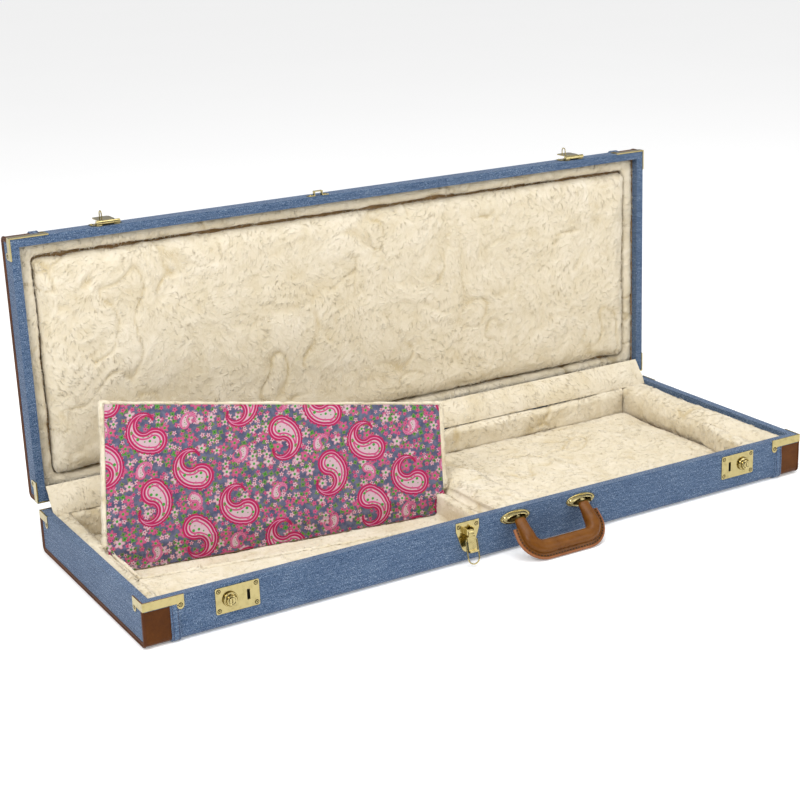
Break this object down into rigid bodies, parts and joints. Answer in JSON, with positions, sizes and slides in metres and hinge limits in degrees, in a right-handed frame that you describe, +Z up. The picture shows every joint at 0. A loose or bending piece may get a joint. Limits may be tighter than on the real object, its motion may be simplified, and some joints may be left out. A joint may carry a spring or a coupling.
{
  "type": "guitar case",
  "caption": "Hard rectangular guitar case with a hinged lid, plush lining, a lidded accessory pocket, brass locks and latch, and a leather handle.",
  "frame": {"origin": "middle of the base's flat underside", "axes": "+X along the case from the neck end to the body end, +Y from the handle side to the hinge side, +Z up out of the base"},
  "size_m": [1.0576, 0.4694, 0.4556],
  "materials": {
    "denim": "woven, washed",
    "leather": "smooth, semi-gloss",
    "brass": "polished plate",
    "steel": "plain",
    "fur": "crushed plush pile",
    "paisley_cloth": "printed cotton",
    "plywood": "bare"
  },
  "bodies": {
    "base": {"back_lining": "fur", "base_corner_back_left": "brass", "base_corner_back_right": "brass", "base_corner_front_left": "brass", "base_corner_front_right": "brass", "base_cover": "denim", "base_leather_left": "leather", "base_leather_right": "leather", "base_panel": "plywood", "base_walls": "plywood", "body_floor_pad": "fur", "front_corner_block": "fur", "front_lining": "fur", "handle_mount_left": "brass", "handle_mount_right": "brass", "hinge_left_base_leaf": "brass", "hinge_middle_base_leaf": "brass", "hinge_right_base_leaf": "brass", "latch_plate": "brass", "left_end_pad": "fur", "lock_left_case": "steel", "lock_left_plate": "brass", "lock_right_case": "steel", "lock_right_plate": "brass", "neck_block": "fur", "neck_floor_pad": "fur", "neck_rest": "fur", "pocket_ledge": "fur", "pocket_liner": "fur", "pocket_wall": "fur", "right_end_pad": "fur"},
    "lid": {"hasp_left_base": "brass", "hasp_right_base": "brass", "hinge_left_lid_leaf": "brass", "hinge_middle_lid_leaf": "brass", "hinge_right_lid_leaf": "brass", "lid_border": "fur", "lid_catch": "brass", "lid_corner_back_left": "brass", "lid_corner_back_right": "brass", "lid_corner_front_left": "brass", "lid_corner_front_right": "brass", "lid_cover": "denim", "lid_leather_left": "leather", "lid_leather_right": "leather", "lid_pad": "fur", "lid_panel": "plywood", "lid_walls": "plywood"},
    "pocket_lid": {"pocket_lid_board": "plywood", "pocket_lid_fur": "fur", "pocket_lid_lining": "paisley_cloth"},
    "hasp_left": {"hasp_left_leaf": "brass"},
    "hasp_right": {"hasp_right_leaf": "brass"},
    "lock_left_knob": {"lock_left_knob": "brass"},
    "lock_right_knob": {"lock_right_knob": "brass"},
    "lock_left_cylinder": {"lock_left_cylinder": "brass"},
    "lock_right_cylinder": {"lock_right_cylinder": "brass"},
    "latch_lever": {"latch_lever": "brass"},
    "latch_bail": {"latch_bail": "brass"},
    "handle": {"handle_grip": "leather"}
  },
  "joints": [
    {"name": "lid_hinge", "type": "hinge", "parent": "base", "child": "lid", "pos_m": [0, 0.1912, 0.063], "axis": [1, 0, 0], "range_deg": [0, 90.7]},
    {"name": "pocket_lid_hinge", "type": "hinge", "parent": "base", "child": "pocket_lid", "pos_m": [-0.249, -0.004, 0.0445], "axis": [0.989, -0.148, 0], "range_deg": [0, 115.5]},
    {"name": "hasp_left_hinge", "type": "hinge", "parent": "lid", "child": "hasp_left", "pos_m": [-0.3885, 0.19756, 0.44395], "axis": [1, 0, 0], "range_deg": [0, 180]},
    {"name": "hasp_right_hinge", "type": "hinge", "parent": "lid", "child": "hasp_right", "pos_m": [0.3917, 0.19756, 0.44395], "axis": [1, 0, 0], "range_deg": [0, 180]},
    {"name": "lock_left_slide", "type": "slide", "parent": "base", "child": "lock_left_knob", "axis": [-1, 0, 0], "range_m": [0, 0.005], "stiffness_N_per_m": 120},
    {"name": "lock_left_key_turn", "type": "hinge", "parent": "lock_left_knob", "child": "lock_left_cylinder", "pos_m": [-0.4138, -0.1936, 0.0375], "axis": [0, -1, 0], "range_deg": [0, 90]},
    {"name": "lock_right_slide", "type": "slide", "parent": "base", "child": "lock_right_knob", "axis": [1, 0, 0], "range_m": [0, 0.005], "stiffness_N_per_m": 120},
    {"name": "lock_right_key_turn", "type": "hinge", "parent": "lock_right_knob", "child": "lock_right_cylinder", "pos_m": [0.417, -0.1936, 0.0375], "axis": [0, -1, 0], "range_deg": [0, 90]},
    {"name": "latch_lever_hinge", "type": "hinge", "parent": "base", "child": "latch_lever", "pos_m": [-0.0653, -0.1925, 0.046], "axis": [1, 0, 0], "range_deg": [-25, 8]},
    {"name": "latch_bail_hinge", "type": "hinge", "parent": "latch_lever", "child": "latch_bail", "pos_m": [-0.0653, -0.19479, 0.03524], "axis": [1, 0, 0], "range_deg": [-165, 3]},
    {"name": "handle_hinge", "type": "hinge", "parent": "base", "child": "handle", "pos_m": [0.0663, -0.1928, 0.0475], "axis": [1, 0, 0], "range_deg": [-65.5, 34.5]}
  ],
  "couplings": [
    {"joint": "pocket_lid_hinge", "follows": "lid_hinge", "ratio": 1.2734}
  ]
}
